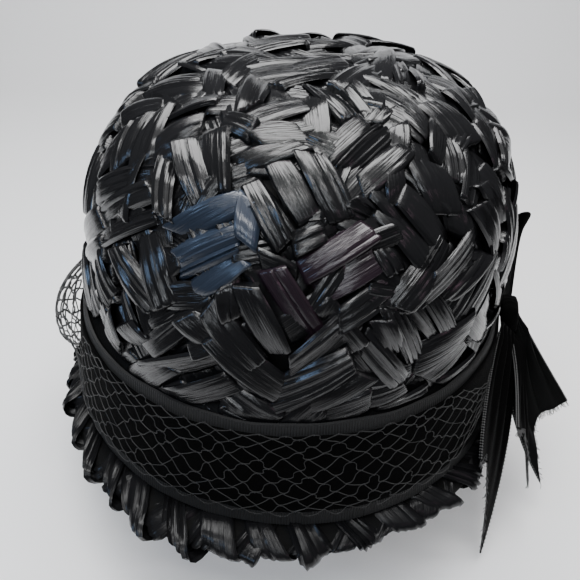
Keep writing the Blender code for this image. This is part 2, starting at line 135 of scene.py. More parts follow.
# Strips of the plait that show, by the ends of each one's middle line and its width, in picture
# pixels. A sixth number is the colour: black straw where it is left out, 1 a bluish and 2 a plum painted
# reflection.
LOBES = [Lobe(*row) for row in (
    (100, 192, 147, 170, 19), (95, 220, 148, 190, 20), (92, 246, 150, 214, 19), (117, 250, 150, 308, 20),
    (144, 235, 168, 302, 20), (98, 266, 108, 302, 14), (163, 158, 162, 213, 22),
    (187, 143, 201, 201, 23), (215, 132, 218, 190, 25), (176, 232, 244, 198, 22, 1),
    (177, 256, 240, 230, 15, 1), (180, 268, 236, 243, 13, 1), (193, 293, 238, 260, 23, 1),
    (249, 200, 246, 240, 15, 1), (250, 182, 282, 243, 20), (278, 162, 309, 216, 27),
    (313, 154, 344, 216, 30), (305, 273, 368, 231, 24, 2), (322, 292, 382, 256, 25, 2),
    (342, 320, 408, 275, 23), (404, 195, 449, 247, 24), (426, 162, 450, 212, 27),
    (385, 207, 427, 264, 22), (429, 290, 479, 236, 21), (451, 300, 484, 255, 14),
    (467, 320, 498, 256, 17), (498, 266, 499, 308, 15), (328, 150, 363, 122, 22),
    (347, 166, 387, 131, 22), (364, 186, 405, 149, 23), (336, 74, 374, 108, 20), (312, 86, 347, 117, 17),
    (312, 97, 318, 135, 24), (252, 134, 301, 130, 21), (242, 119, 303, 103, 18),
    (238, 161, 298, 144, 19), (282, 73, 344, 63, 13), (279, 85, 342, 70, 12), (262, 72, 249, 107, 24),
    (228, 80, 264, 57, 20), (216, 72, 212, 97, 19), (188, 64, 242, 46, 12), (250, 50, 306, 46, 14),
    (298, 44, 350, 42, 11), (258, 60, 346, 55, 11), (351, 44, 368, 61, 20), (380, 54, 378, 74, 24),
    (394, 59, 407, 81, 18), (412, 61, 425, 87, 16), (377, 77, 428, 107, 15), (366, 83, 414, 113, 19),
    (426, 88, 449, 105, 13), (432, 104, 470, 141, 16), (402, 105, 430, 131, 18),
    (392, 111, 425, 135, 12), (440, 126, 437, 156, 19), (451, 139, 459, 179, 15),
    (474, 153, 470, 201, 19), (398, 128, 399, 150, 17), (413, 141, 420, 163, 22),
    (452, 92, 478, 118, 13), (468, 90, 488, 117, 11), (476, 113, 499, 150, 13), (484, 128, 500, 165, 12),
    (497, 128, 508, 168, 12), (484, 170, 503, 204, 17), (482, 186, 501, 222, 16),
    (479, 207, 500, 251, 22), (511, 196, 512, 240, 14), (508, 236, 505, 268, 14), (425, 60, 458, 82, 14),
    (432, 76, 470, 100, 13), (119, 166, 139, 122, 17), (137, 165, 160, 113, 19),
    (155, 149, 199, 120, 21), (124, 120, 162, 104, 15), (163, 113, 218, 98, 15), (146, 98, 202, 84, 13),
    (150, 86, 196, 74, 11), (109, 156, 123, 128, 13), (100, 172, 120, 143, 13), (209, 308, 255, 365, 22),
    (245, 289, 278, 353, 27), (272, 273, 317, 343, 26, 2), (148, 348, 194, 312, 25),
    (146, 369, 219, 358, 21), (179, 396, 231, 386, 24), (186, 318, 216, 345, 20),
    (229, 396, 274, 420, 20), (274, 399, 348, 360, 25), (286, 416, 362, 378, 20),
    (304, 425, 367, 400, 17), (408, 295, 441, 336, 23), (395, 311, 417, 360, 24),
    (364, 343, 398, 381, 24), (380, 322, 396, 352, 17), (423, 377, 461, 341, 20),
    (421, 360, 466, 326, 19), (444, 384, 472, 354, 12), (362, 404, 402, 387, 13),
    (378, 412, 424, 392, 12), (456, 332, 479, 288, 15), (471, 342, 496, 314, 11),
    (432, 297, 448, 327, 16), (103, 302, 105, 328, 15), (110, 322, 119, 348, 14),
    (126, 326, 141, 343, 17), (228, 286, 230, 318, 19), (395, 174, 399, 202, 13),
    (335, 303, 324, 320, 17), (295, 244, 322, 232, 12), (235, 256, 276, 249, 18),
    (262, 262, 294, 276, 15), (365, 247, 396, 234, 14), (384, 250, 396, 270, 14),
    (350, 206, 370, 214, 18), (212, 105, 244, 100, 14), (225, 120, 250, 130, 16),
    (192, 350, 222, 340, 14),
)]
# Black straw, then the bluish and the plum painted reflections that go into some strips' base colour.
STRAW_BLACK_AND_PAINTED_REFLECTIONS = ((0.0070, 0.0070, 0.0076), (0.0210, 0.0290, 0.0450), (0.0170, 0.0105, 0.0150))


def smooth(share):
    share = max(0.0, min(1.0, share))
    return share * share * (3.0 - 2.0 * share)


def bump(angle, centre, spread):
    """A smooth hill in angle: one at its centre and nothing past its spread."""
    away = abs(angle - centre) / spread
    return cos(away * pi / 2) ** 2 if away < 1.0 else 0.0


def lean_at(height):
    return CROWN_LEAN * max(0.0, height - SHOULDER) / DOME_HEIGHT


def plan_point(angle, half_width, height):
    across = lean_at(height) + half_width * cos(angle)
    return Vector((across, DEPTH_RATIO * half_width * sin(angle), height))


def band_half_width(height):
    return BAND_TOP_HALF_WIDTH + BAND_FLARE * (BAND_TOP - height) / BAND_HEIGHT


def rim_half_width(degrees):
    dip = bump(degrees, BRIM_DIP_DEGREES, BRIM_DIP_SPREAD_DEGREES)
    dip += bump(degrees - 360.0, BRIM_DIP_DEGREES, BRIM_DIP_SPREAD_DEGREES)
    return RIM_HALF_WIDTH + BRIM_DIP_FLARE * dip


def crown_level(point):
    """One on the crown's surface, less inside and more outside."""
    rise = point.z - SHOULDER
    across = (point.x - CROWN_LEAN * max(0.0, rise) / DOME_HEIGHT) / CROWN_HALF_WIDTH
    ring = hypot(across, point.y / (CROWN_HALF_WIDTH * DEPTH_RATIO))
    if rise <= 0.0:
        return ring
    return (ring ** DOME_POWER + (rise / DOME_HEIGHT) ** DOME_POWER) ** (1.0 / DOME_POWER)


def crown_place(point, stand=0.0):
    """The crown's surface under a point, raised by stand, and the outward direction there."""
    wide = CROWN_HALF_WIDTH
    deep = CROWN_HALF_WIDTH * DEPTH_RATIO
    rise = point.z - SHOULDER
    shrink = 1.0 / max(1e-6, crown_level(point))
    if rise <= 0.0:
        on = Vector((point.x * shrink, point.y * shrink, point.z))
        out = Vector((on.x / wide ** 2, on.y / deep ** 2, 0.0)).normalized()
        return on + out * stand, out
    across = (point.x - CROWN_LEAN * rise / DOME_HEIGHT) * shrink
    along = point.y * shrink
    rise *= shrink
    ring = hypot(across / wide, along / deep)
    slope_x = ring * across / wide ** 2
    slope_z = rise ** 2 / DOME_HEIGHT ** 3 - CROWN_LEAN / DOME_HEIGHT * slope_x
    out = Vector((slope_x, ring * along / deep ** 2, slope_z)).normalized()
    on = Vector((across + CROWN_LEAN * rise / DOME_HEIGHT, along, SHOULDER + rise))
    return on + out * stand, out


def camera_frame():
    """The camera's place, and its right, up and backward directions before its roll."""
    lift = radians(CAMERA_ELEVATION)
    back = Vector((0.0, -cos(lift), sin(lift)))
    right = Vector((1.0, 0.0, 0.0))
    return CAMERA_TARGET + CAMERA_DISTANCE * back, right, back.cross(right), back


def picture_point(x, y):
    """The crown's surface behind a picture pixel, or the nearest of it past the outline."""
    eye, right, up, back = camera_frame()
    roll = radians(CAMERA_ROLL)
    across = x - PICTURE_SIZE / 2
    down = y - PICTURE_SIZE / 2
    turned = cos(roll) * across + sin(roll) * down
    dropped = -sin(roll) * across + cos(roll) * down
    way = (right * turned - up * dropped) / FOCAL_PIXELS - back
    best = None
    previous = None
    steps = 160
    for step in range(steps):
        reach = CAMERA_DISTANCE * (0.4 + 1.1 * step / steps)
        level = crown_level(eye + way * reach)
        if level <= 1.0 and previous is not None:
            near, far = previous, reach
            for _ in range(18):
                middle = (near + far) / 2
                if crown_level(eye + way * middle) > 1.0:
                    near = middle
                else:
                    far = middle
            return eye + way * far
        if best is None or level < best[0]:
            best = (level, reach)
        previous = reach
    return crown_place(eye + way * best[1])[0]


def new_object(name, mesh_maker, materials):
    mesh = bpy.data.meshes.new(name)
    mesh_maker.to_mesh(mesh)
    mesh_maker.free()
    for material in materials:
        mesh.materials.append(material)
    made = bpy.data.objects.new(name, mesh)
    bpy.context.scene.collection.objects.link(made)
    return made


def shade(thing, degrees):
    thing.data.shade_smooth()
    thing.data.set_sharp_from_angle(angle=radians(degrees))


def join_rings(maker, rings):
    """Faces between each ring of vertices and the next."""
    for lower, upper in zip(rings, rings[1:]):
        for spot in range(len(lower)):
            after = (spot + 1) % len(lower)
            maker.faces.new((lower[spot], lower[after], upper[after], upper[spot]))


def add_beads(maker, places, size):
    for place in places:
        ball = bmesh.ops.create_icosphere(maker, subdivisions=1, radius=size)
        for vert in ball["verts"]:
            vert.co = vert.co + place


def lobe_rows(length):
    """How far along a strip each of its rows is, and how deep the row is tucked."""
    rows = list(END_ROWS)
    first = END_ROWS[-1][0]
    for step in range(1, MIDDLE_STEPS):
        rows.append((first + (length - 2 * first) * step / MIDDLE_STEPS, 0.0))
    return rows + [(length - inset, drop) for inset, drop in reversed(END_ROWS)]


def pleat_heights(rng):
    deep = DEEP_PLEAT_DEPTH if rng.random() < DEEP_PLEAT_SHARE else PLEAT_DEPTH
    return [deep * rng.uniform(-1.0, 0.8) for _ in range(ACROSS_STEPS + 1)]


def fill_strip(maker, layers, grid, wide, alongs, tint):
    """Faces over a strip's grid, with its fibres mapped in metres."""
    ring = ((1, 0), (1, 1), (0, 1), (0, 0))
    for row in range(len(grid) - 1):
        for column in range(ACROSS_STEPS):
            face = maker.faces.new([grid[row + i][column + j] for i, j in ring])
            for loop, (i, j) in zip(face.loops, ring):
                across = (column + j) / ACROSS_STEPS * wide
                loop[layers[0]].uv = (across + layers[2] * 0.013, alongs[row + i] + layers[2] * 0.031)
                # Base colour per strip: black straw, and on some strips a bluish or plum painted
                # reflection.
                loop[layers[1]] = (*STRAW_BLACK_AND_PAINTED_REFLECTIONS[tint], 1.0)


def add_lobe(maker, layers, centre_line, wide, rng, place, tint, lift=0.0):
    """One flat strip: slanted ends that fold down sharply, fine pleats, and a slight twist."""
    start, end = centre_line
    length = (end - start).length
    pleats = pleat_heights(rng)
    slant = rng.uniform(-0.95, 0.95)
    slants = (slant, 0.6 * slant + rng.uniform(-0.35, 0.35))
    roll = rng.uniform(-1.0, 1.0) * LOBE_ROLL
    twist = rng.uniform(-1.0, 1.0) * LOBE_ROLL * 0.8
    pitch = rng.uniform(-1.0, 1.0) * LOBE_PITCH
    waist = (rng.uniform(0.78, 1.0), rng.uniform(0.78, 1.0))
    fan = rng.uniform(0.2, 1.0)
    grid = []
    alongs = []
    for along, drop in lobe_rows(length):
        share = along / length
        alongs.append(along)
        arch = LOBE_ARCH * (1.0 - (2 * share - 1) ** 2)
        narrow = waist[0] + (1.0 - waist[0]) * min(1.0, share / 0.35)
        narrow *= waist[1] + (1.0 - waist[1]) * min(1.0, (1.0 - share) / 0.35)
        line = []
        for column in range(ACROSS_STEPS + 1):
            across = 2.0 * column / ACROSS_STEPS - 1.0
            ahead = slants[0] * (1.0 - share) ** 2 + slants[1] * share ** 2
            middle = start.lerp(end, (along + ahead * across * wide / 2) / length)
            out = place(middle)[1]
            side = out.cross(end - start).normalized()
            spot = middle + side * (across * narrow * wide / 2)
            height = lift + arch - LOBE_TUCK * drop
            height += pleats[column] * (fan + (1.0 - fan) * share)
            height += (roll + twist * (2 * share - 1)) * across
            height += pitch * (2 * share - 1) - EDGE_DROP * abs(across) ** 8
            under_band = BEHIND_BAND + BAND_RISE * max(0.0, spot.z - BAND_TOP)
            line.append(maker.verts.new(place(spot, min(height, under_band))[0]))
        grid.append(line)
    fill_strip(maker, layers, grid, wide, alongs, tint)


def start_strips():
    maker = bmesh.new()
    return maker, maker.loops.layers.uv.new("UVMap"), maker.loops.layers.float_color.new("tint")


def crown_girth(height_share):
    """Half width and height part-way up the crown's outline, above the band."""
    turn = height_share * pi / 2
    half_width = CROWN_HALF_WIDTH * max(0.0, cos(turn)) ** (2 / DOME_POWER)
    return half_width, SHOULDER + DOME_HEIGHT * sin(turn) ** (2 / DOME_POWER)


def profile_table():
    """Places up the crown's outline with the distance to each from the band's top."""
    rows = [(0.0, CROWN_HALF_WIDTH, BAND_TOP - 0.004)]
    for step in range(201):
        half_width, height = crown_girth(step / 200)
        last = rows[-1]
        run = hypot(half_width - last[1], height - last[2])
        rows.append((last[0] + run, half_width, height))
    return rows


def outline_at(rows, distance):
    for before, after in zip(rows, rows[1:]):
        if after[0] >= distance:
            share = (distance - before[0]) / max(1e-9, after[0] - before[0])
            return (before[1] + share * (after[1] - before[1]),
                    before[2] + share * (after[2] - before[2]))
    return rows[-1][1:]


def chequer_lobes(rng):
    """Middle lines of all the plait's strips, in groups of three that lean left and right in
    turn, on rows that climb as the sewn braid spirals up."""
    rows = profile_table()
    total = rows[-1][0]
    lines = []
    groups = []
    row = -3
    while True:
        base = GROUP_PITCH * (row + 0.35)
        if base > total - 0.3 * GROUP_PITCH:
            break
        half_width = outline_at(rows, max(0.0, base))[0]
        girth = pi * half_width * (1.0 + DEPTH_RATIO)
        count = max(3, round(girth / (2 * GROUP_PITCH)))
        for index in range(count):
            angle = 2 * pi * (index + 0.5 * (row % 2)) / count - 0.5
            climb = base + 2 * GROUP_PITCH * ((angle / (2 * pi)) % 1.0)
            if not -0.42 * GROUP_PITCH < climb < total - 0.004:
                continue
            leaning = 1.0 if row % 2 == 0 else -1.0
            half_width, height = outline_at(rows, max(0.0, climb))
            middle = plan_point(angle, half_width, height)
            middle, out = crown_place(middle)
            groups.append((middle, out))
            east = Vector((-sin(angle) / DEPTH_RATIO, cos(angle), 0.0)).normalized()
            north = out.cross(east).normalized()
            heading = (north + leaning * east).normalized()
            side = out.cross(heading).normalized()
            for strand in (-1, 0, 1):
                centre = middle + side * strand * STRIP_PITCH
                centre += heading * rng.uniform(-0.0015, 0.0015)
                bend = heading + side * rng.uniform(-0.14, 0.14)
                half = (STRIP_HALF_LENGTH + rng.uniform(-0.002, 0.001)) * bend.normalized()
                lines.append((centre - half, centre + half))
        row += 1
    return lines, groups


def make_filler_strips(straw, groups):
    """Short strips that cross at random below the others and fill the gaps between groups."""
    rng = random.Random(23)
    maker, uv, tint = start_strips()
    for count, (middle, out) in enumerate(groups * FILLERS_PER_GROUP):
        east = Vector((0.0, 0.0, 1.0)).cross(out).normalized()
        north = out.cross(east)
        turn = rng.uniform(0, 2 * pi)
        reach = rng.uniform(0.008, 0.021)
        centre = crown_place(middle + (east * cos(turn) + north * sin(turn)) * reach)[0]
        heading = rng.uniform(0, pi)
        half = (east * cos(heading) + north * sin(heading)) * rng.uniform(0.010, 0.0145)
        add_lobe(maker, (uv, tint, count), (centre - half, centre + half),
                 rng.uniform(0.0085, 0.0125), rng, crown_place, 0, rng.uniform(-0.0022, -0.0010))
    strips = new_object("crown_filler_strips", maker, [straw])
    shade(strips, STRIP_SHARP_DEGREES)
    return strips


def make_crown_strips(straw):
    rng = random.Random(11)
    maker, uv, tint = start_strips()
    count = 0
    charted = []
    for lobe in LOBES:
        start = picture_point(lobe.x0, lobe.y0)
        end = picture_point(lobe.x1, lobe.y1)
        middle = picture_point((lobe.x0 + lobe.x1) / 2, (lobe.y0 + lobe.y1) / 2)
        out = crown_place(middle)[1]
        way = (end - start).normalized()
        start = start - way * CHARTED_SPARE
        end = end + way * CHARTED_SPARE
        eye = camera_frame()[0]
        scale = (middle - eye).length / FOCAL_PIXELS
        side = out.cross(way).normalized()
        seen = side.cross((middle - eye).normalized()).length
        wide = CHARTED_SPREAD * lobe.wide * scale / max(0.35, seen)
        wide = min(CHARTED_WIDEST, max(CHARTED_NARROWEST, wide))
        charted.append((middle, way))
        add_lobe(maker, (uv, tint, count), (start, end), wide, rng, crown_place, lobe.tint,
                 lift=rng.uniform(-0.0012, 0.0006))
        count += 1
    lines, groups = chequer_lobes(rng)
    for start, end in lines:
        middle = (start + end) / 2
        nearest = min((middle - place).length for place, _ in charted)
        lift = rng.uniform(-0.0009, 0.0004)
        if nearest < CHARTED_REACH:
            lift -= CHARTED_PRESS
        add_lobe(maker, (uv, tint, count), (start, end), STRIP_WIDTH, rng, crown_place, 0, lift)
        count += 1
    strips = new_object("crown_strips", maker, [straw])
    shade(strips, STRIP_SHARP_DEGREES)
    return strips, make_filler_strips(straw, groups)


def make_crown_base(dark):
    """The plait's dark underlayer, and its plain inside."""
    maker = bmesh.new()
    columns = 96
    rings = []
    bottom = BRIM_HEIGHT + 0.0015
    outer = [(band_half_width(bottom) - 0.0014, bottom),
             (band_half_width(BAND_TOP) - 0.0016, BAND_TOP - 0.0006)]
    steps = 22
    for step in range(steps):
        half_width, height = crown_girth(step / steps)
        on = crown_place(plan_point(0.0, half_width, height), -BASE_SINK)[0]
        outer.append((on.x - lean_at(on.z), on.z))
    for half_width, height in outer:
        rings.append([maker.verts.new(plan_point(2 * pi * c / columns, half_width, height))
                      for c in range(columns)])
    tip = maker.verts.new(plan_point(0.0, 0.0, SHOULDER + DOME_HEIGHT - BASE_SINK))
    join_rings(maker, rings)
    for c in range(columns):
        maker.faces.new((rings[-1][c], rings[-1][(c + 1) % columns], tip))
    base = new_object("crown_base", maker, [dark])
    thick = base.modifiers.new("Wall", "SOLIDIFY")
    thick.thickness = CROWN_WALL
    thick.offset = -1.0
    shade(base, 40.0)
    return base


# The rolled rim's section, from its top under the band round its edge to its underside, as
# metres in from the rim and up
RIM_PATH = ((0.0090, 0.0079), (0.0071, 0.0075), (0.0049, 0.0068), (0.0028, 0.0058), (0.0010, 0.0043),
            (0.0001, 0.0026), (0.0006, 0.0008), (0.0028, -0.0003), (0.0056, -0.0002), (0.0082, 0.0004))
RIM_INSIDE = ((0.0118, 0.0016), (0.0126, 0.0050), (0.0122, 0.0092))
RIM_STRIP_PITCH = 0.0094
RIM_ROWS = 18
RIM_PLEATING = 1.9
RIM_STRIP_LENGTH = 0.024
RIM_BASE_SINK = 0.0013
# How far in from its edge the rim's dip at the front still tells
RIM_DIP_REACH = 0.0084


def rim_point(angle, share, stand=0.0):
    """A place on the rolled rim, from its top at share nought to its underside at one."""
    last = len(RIM_PATH) - 1
    index = min(last - 1, max(0, int(share * last)))
    part = share * last - index

    def station(spot):
        return RIM_PATH[min(last, max(0, spot))]

    inward = station(index)[0] + part * (station(index + 1)[0] - station(index)[0])
    rise = station(index)[1] + part * (station(index + 1)[1] - station(index)[1])
    run_in = (1 - part) * (station(index + 1)[0] - station(index - 1)[0])
    run_in += part * (station(index + 2)[0] - station(index)[0])
    run_up = (1 - part) * (station(index + 1)[1] - station(index - 1)[1])
    run_up += part * (station(index + 2)[1] - station(index)[1])
    long = hypot(run_in, run_up)
    return rim_place(angle, inward + stand * run_up / long, rise - stand * run_in / long)


def rim_place(angle, inward, rise):
    reach = max(0.0, 1.0 - inward / RIM_DIP_REACH)
    edge = RIM_HALF_WIDTH + reach * (rim_half_width(angle * 180 / pi) - RIM_HALF_WIDTH)
    return plan_point(angle, edge - inward, rise)


def make_rim_strips(straw):
    """Folded strips that lean left and right in turn and wrap the rim from the band down."""
    rng = random.Random(5)
    maker, uv, tint = start_strips()
    girth = pi * RIM_HALF_WIDTH * (1.0 + DEPTH_RATIO)
    count = 2 * round(girth / RIM_STRIP_PITCH / 2)
    for index in range(count):
        angle = 2 * pi * (index + rng.uniform(-0.18, 0.18)) / count
        leaning = (0.017 if index % 2 else -0.015) + rng.uniform(-0.008, 0.008)
        lift = (0.0007 if index % 2 else -0.0007) + rng.uniform(-0.0006, 0.0006)
        add_rim_lobe(maker, (uv, tint, index), angle, leaning, rng, lift)
    strips = new_object("rim_strips", maker, [straw])
    shade(strips, STRIP_SHARP_DEGREES)
    return strips


def add_rim_lobe(maker, layers, angle, leaning, rng, lift):
    """One strip folded over the rim, with a corner of it standing out at the edge."""
    wide = rng.uniform(0.0118, 0.0168)
    pleats = pleat_heights(rng)
    slant = rng.uniform(-0.3, 0.3)
    roll = rng.choice((-1.0, 1.0)) * rng.uniform(0.0008, 0.0024)
    jut = rng.uniform(-0.0008, 0.0014)
    flare = rng.uniform(-0.25, 0.45)
    fan = rng.uniform(0.3, 1.0)
    grid = []
    alongs = []
    for row in range(RIM_ROWS + 1):
        share = row / RIM_ROWS
        alongs.append(share * RIM_STRIP_LENGTH)
        tucked = max(0.0, 1.0 - share / 0.08) + max(0.0, 1.0 - (1.0 - share) / 0.08)
        edging = sin(pi * min(1.0, max(0.0, (share - 0.3) / 0.5))) ** 2
        line = []
        for column in range(ACROSS_STEPS + 1):
            across = 2.0 * column / ACROSS_STEPS - 1.0
            sideways = leaning * (share - 0.42) + across * wide / 2 * (1.0 + flare * (share - 0.4))
            along = share + slant * across * 0.12
            height = lift - 0.0016 * tucked + jut * edging - EDGE_DROP * abs(across) ** 8
            height += pleats[column] * (fan + (1.0 - fan) * share) * RIM_PLEATING
            height += roll * across * (0.3 + edging)
            spot = rim_point(angle + sideways / RIM_HALF_WIDTH, min(1.0, max(0.0, along)), height)
            line.append(maker.verts.new(spot))
        grid.append(line)
    fill_strip(maker, layers, grid, wide, alongs, 0)


def make_rim_base(dark):
    """The rim's dark roll under its strips, closed on its inside."""
    maker = bmesh.new()
    columns, sides = 120, 12
    rings = []
    for side in range(sides + 1 + len(RIM_INSIDE)):
        ring = []
        for column in range(columns):
            angle = 2 * pi * column / columns
            if side <= sides:
                spot = rim_point(angle, side / sides, -RIM_BASE_SINK)
            else:
                spot = rim_place(angle, *RIM_INSIDE[side - sides - 1])
            ring.append(maker.verts.new(spot))
        rings.append(ring)
    join_rings(maker, [rings[0]] + rings[::-1])
    base = new_object("rim_base", maker, [dark])
    shade(base, 60.0)
    return base


def ring_mesh(name, section, columns, material, wobble):
    """A closed ring from a section of (half width offset, height) places on the band's slope."""
    maker = bmesh.new()
    rings = []
    for row, (stand, height) in enumerate(section):
        ring = []
        for column in range(columns):
            angle = 2 * pi * column / columns
            extra, lift = wobble(column, row, angle)
            z = height + lift
            ring.append(maker.verts.new(plan_point(angle, band_half_width(z) + stand + extra, z)))
        rings.append(ring)
    join_rings(maker, [rings[0]] + rings[::-1])
    return new_object(name, maker, [material])


RIB_COUNT = 580
RIB_DEPTH = 0.00030


def make_grosgrain(material):
    """The wide ribbed ribbon: a rib a millimetre, pressed flat at both edges."""
    section = [(-0.0009, BAND_TOP), (-0.0001, BAND_TOP), (0.0, BAND_TOP - 0.0006)]
    middle = 8
    for step in range(middle + 1):
        height = BAND_TOP - 0.001 - step * (BAND_HEIGHT - 0.002) / middle
        section.append((0.0, height))
    section += [(0.0, BAND_BOTTOM + 0.0006), (-0.0001, BAND_BOTTOM), (-0.0009, BAND_BOTTOM)]

    def wobble(column, row, angle):
        edge = min(row, len(section) - 1 - row)
        rib = RIB_DEPTH if column % 2 and edge > 0 else 0.0
        wave = 0.00035 * sin(9 * angle + 1.3) + 0.0002 * sin(23 * angle)
        lift = (wave if row < len(section) / 2 else -0.6 * wave) if edge < 3 else 0.0
        return rib, lift + (0.00012 if column % 2 and edge < 2 else 0.0)

    band = ring_mesh("grosgrain_ribbon", section, 2 * RIB_COUNT, material, wobble)
    shade(band, 50.0)
    return band


# How far the velvet's lower edge has ridden up
VELVET_LIFT = 0.0014


def make_velvet(material):
    """The narrower velvet ribbon, with a soft raised selvage."""
    low = BAND_BOTTOM + VELVET_BOTTOM_MARGIN + VELVET_LIFT
    high = BAND_TOP - VELVET_TOP_MARGIN
    face = VELVET_THICKNESS + CLEARANCE
    section = [(CLEARANCE, high - 0.0002), (face * 0.7, high), (face, high - 0.0006)]
    for step in range(1, 8):
        section.append((face, high + (low - high) * step / 8))
    section += [(face, low + 0.0006), (face * 0.7, low), (CLEARANCE, low + 0.0002)]

    def wobble(_, row, angle):
        wave = 0.0003 * sin(7 * angle) + 0.00025 * sin(17 * angle + 0.4)
        puckered = 0.00015 * sin(31 * angle + row)
        return max(0.0, puckered), wave if row < len(section) / 2 else 0.5 * wave

    band = ring_mesh("velvet_ribbon", section, 300, material, wobble)
    shade(band, 60.0)
    return band


NET_COLUMNS = 58
NET_ROWS = 6
NET_THREAD = 0.00017
PUFF_THREAD = 0.00034
NET_JITTER = 0.24
NET_S_BEND = 0.55
NET_STEPS = 6
NET_GATHER = 0.80
NET_LOW_MARGIN = 0.0070
NET_HIGH_MARGIN = 0.0016


def net_point(around, up, stand=0.0):
    """A point of the net from shares of its sweep and height: gathered, then puffed at the left."""
    degrees = VEIL_START_DEGREES - VEIL_SWEEP_DEGREES * around
    gather = bump(degrees, GATHER_DEGREES, GATHER_SPREAD_DEGREES) * NET_GATHER
    gather = max(gather, 0.75 * (1.0 - smooth(around / 0.07)))
    gather = max(gather, 0.7 * (1.0 - smooth((1.0 - around) / 0.04)))
    puff = bump(degrees, PUFF_DEGREES, PUFF_SPREAD_DEGREES)
    low = BAND_BOTTOM + NET_LOW_MARGIN
    high = BAND_TOP - NET_HIGH_MARGIN
    bunched = 0.55 * up + 0.45 * (0.5 - 0.5 * cos(pi * min(1.0, max(0.0, up))))
    narrowed = 0.5 + (bunched - 0.5) * (1.0 - gather)
    height = low + (high - low) * narrowed
    out = VELVET_THICKNESS + 2 * CLEARANCE + 0.0006 + stand
    out += PUFF_DEPTH * puff * sin(pi * min(1.0, max(0.0, up)) ** PUFF_SLUMP)
    return plan_point(radians(degrees), band_half_width(height) + out, height)


def add_thread(maker, points, radius, sides=4):
    """A thin tube through points, open at its ends where a knot covers them."""
    rings = []
    for index, point in enumerate(points):
        before = points[max(0, index - 1)]
        after = points[min(len(points) - 1, index + 1)]
        way = (after - before).normalized()
        side = way.orthogonal().normalized()
        other = way.cross(side)
        if rings:
            pull = rings[-1][0].co - points[index - 1]
            side = (pull - way * pull.dot(way)).normalized()
            other = way.cross(side)
        ring = []
        for corner in range(sides):
            turn = 2 * pi * corner / sides
            ring.append(maker.verts.new(point + radius * (cos(turn) * side + sin(turn) * other)))
        rings.append(ring)
    join_rings(maker, rings)
    for ring, flip in ((rings[0], True), (rings[-1], False)):
        maker.faces.new(list(reversed(ring)) if flip else ring)


def make_net(material):
    """The net: thin wavy threads between small knots."""
    rng = random.Random(3)
    maker = bmesh.new()
    knots = {}

    def knot(column, row):
        if (column, row) not in knots:
            around = (column + rng.uniform(-1, 1) * NET_JITTER) / (2 * NET_COLUMNS)
            up = (row + rng.uniform(-1, 1) * NET_JITTER * 1.2) / (2 * NET_ROWS)
            knots[column, row] = (around, up)
        return knots[column, row]

    for row in range(2 * NET_ROWS):
        for column in range(row % 2, 2 * NET_COLUMNS + 1, 2):
            for step in (-1, 1):
                if not 0 <= column + step <= 2 * NET_COLUMNS:
                    continue
                low = knot(column, row)
                high = knot(column + step, row + 1)
                wave = rng.uniform(-0.10, 0.10) / NET_COLUMNS
                stand = rng.uniform(0.0, 0.0004)
                s_bend = NET_S_BEND * rng.uniform(0.4, 1.5)
                points = []
                for part in range(NET_STEPS + 1):
                    share = part / NET_STEPS
                    bend = share - s_bend * sin(2 * pi * share) / (2 * pi)
                    around = low[0] + (high[0] - low[0]) * share + wave * sin(2 * pi * share)
                    up = low[1] + (high[1] - low[1]) * bend
                    points.append(net_point(around, up, stand * sin(pi * share)))
                degrees = VEIL_START_DEGREES - VEIL_SWEEP_DEGREES * low[0]
                puff = bump(degrees, PUFF_DEGREES, PUFF_SPREAD_DEGREES)
                add_thread(maker, points, NET_THREAD + PUFF_THREAD * puff)
    add_beads(maker, [net_point(around, up, 0.0001) for around, up in knots.values()], NET_THREAD * 2.1)
    net = new_object("net_veil", maker, [material])
    shade(net, 80.0)
    return net


def bow_axes():
    height = BAND_BOTTOM + BOW_HEIGHT_SHARE * BAND_HEIGHT
    angle = radians(BOW_DEGREES)
    seat = plan_point(angle, band_half_width(height), height)
    out = Vector((cos(angle) * DEPTH_RATIO, sin(angle), 0.0)).normalized()
    up = Vector((0.0, 0.0, 1.0))
    return seat, out, out.cross(up), up


def bow_point(out_share, front_share, up_share):
    seat, out, front, up = bow_axes()
    return seat + RIBBON_WIDTH * (out_share * out + front_share * front + up_share * up)


def knot_point(out_share, front_share, up_share):
    seat, out, front, up = bow_axes()
    rise = KNOT_RISE + up_share * KNOT_HEIGHT / 2
    slope = -rise * BAND_FLARE / BAND_HEIGHT
    reach = VELVET_THICKNESS + 2 * CLEARANCE + (1.0 + out_share) * KNOT_OUT / 2 + slope
    return seat + out * reach + front * (front_share * KNOT_WIDTH / 2) + up * rise


Tail = namedtuple("Tail", "name root_short bend_short tip_short root_long bend_long tip_long "
                          "notch_place notch_depth curl pleats")
Fold = namedtuple("Fold", "out back middle half_height")

# How deep each tail's pleats are near the knot, in metres
PLEAT_OUTER = 0.0038
PLEAT_MIDDLE = 0.0040
PLEAT_FRONT = 0.0028
TAILS = (
    Tail("tail_outer", (1.00, -0.50, -0.15), (0.56, -0.09, -0.42), (0.96, -0.06, -0.98),
         (1.00, 0.50, -0.80), (0.20, 0.26, -0.95), (0.81, 0.49, -1.76), 0.50, 0.20, 0.05, PLEAT_OUTER),
    Tail("tail_middle", (0.10, 0.90, -0.90), (0.26, 0.50, -0.30), (0.33, 0.92, -0.66),
         (0.90, -0.40, -1.00), (0.44, 0.30, -0.80), (0.67, 0.66, -1.67), 0.36, 0.20, 0.05, PLEAT_MIDDLE),
    Tail("tail_front", (-0.90, 1.60, 0.30), (-0.07, 0.74, -0.22), (-0.03, 1.43, -0.69),
         (0.50, 1.00, -0.80), (0.40, 0.62, -0.90), (0.21, 1.42, -1.98), 0.28, 0.20, 0.05, PLEAT_FRONT),
)
